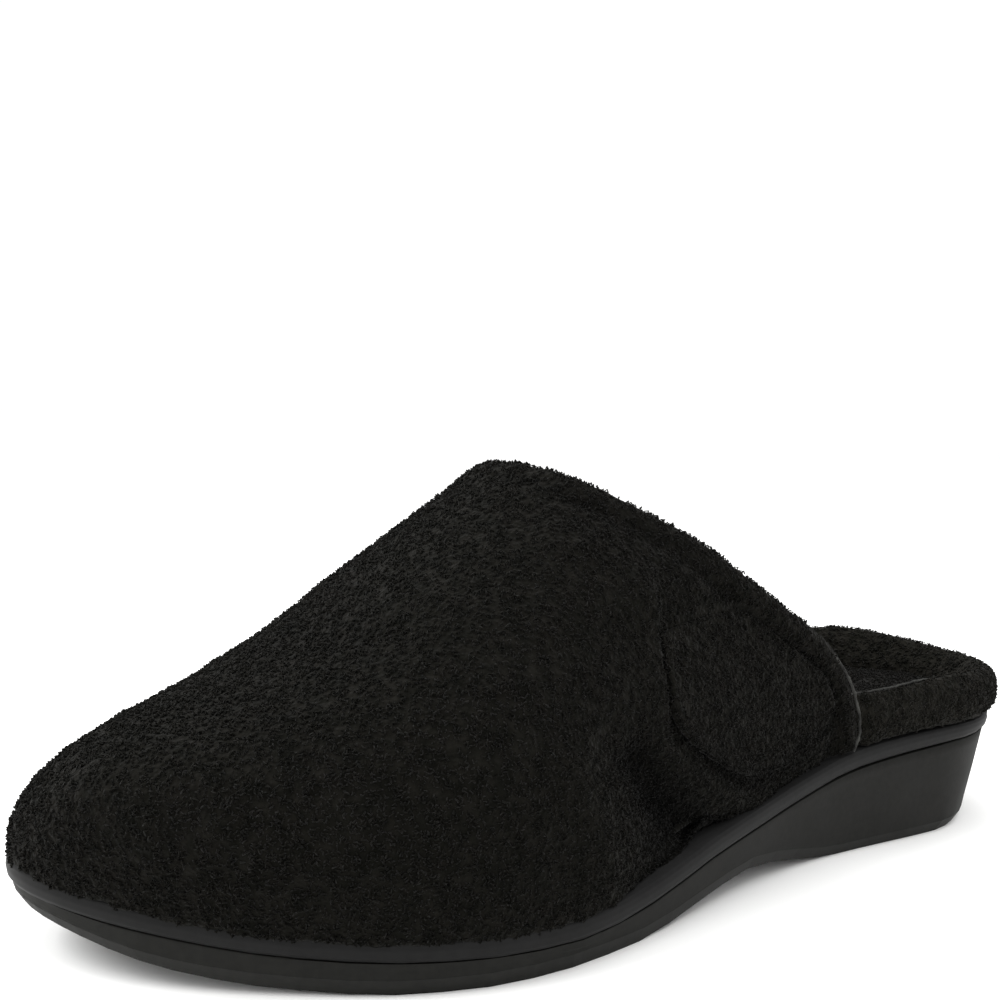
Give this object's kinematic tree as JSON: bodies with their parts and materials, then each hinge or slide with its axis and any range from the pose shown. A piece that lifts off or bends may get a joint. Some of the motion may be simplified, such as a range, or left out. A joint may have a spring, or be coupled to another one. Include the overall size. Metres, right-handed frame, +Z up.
{
  "type": "scuff slipper",
  "caption": "Left scuff slipper with a closed toe, open back, side closure tab and low wedge sole.",
  "frame": {"origin": "centre of the slipper's bounding box on the floor", "axes": "+Z up, toe toward -Y, outer side of the foot toward +X"},
  "size_m": [0.0996, 0.2606, 0.0934],
  "materials": {
    "tread_rubber": "satin moulded rubber",
    "wedge_foam": "satin moulded foam",
    "smooth_wrap": "smooth coated wrap with a soft shine",
    "footbed_terry": "short terry pile",
    "upper_terry": "deep terry pile"
  },
  "bodies": {
    "root": {"outsole": "tread_rubber", "midsole": "wedge_foam", "platform": "smooth_wrap", "footbed": "footbed_terry", "heel_rim": "upper_terry", "upper": "upper_terry", "closure_tab": "upper_terry"}
  },
  "joints": []
}
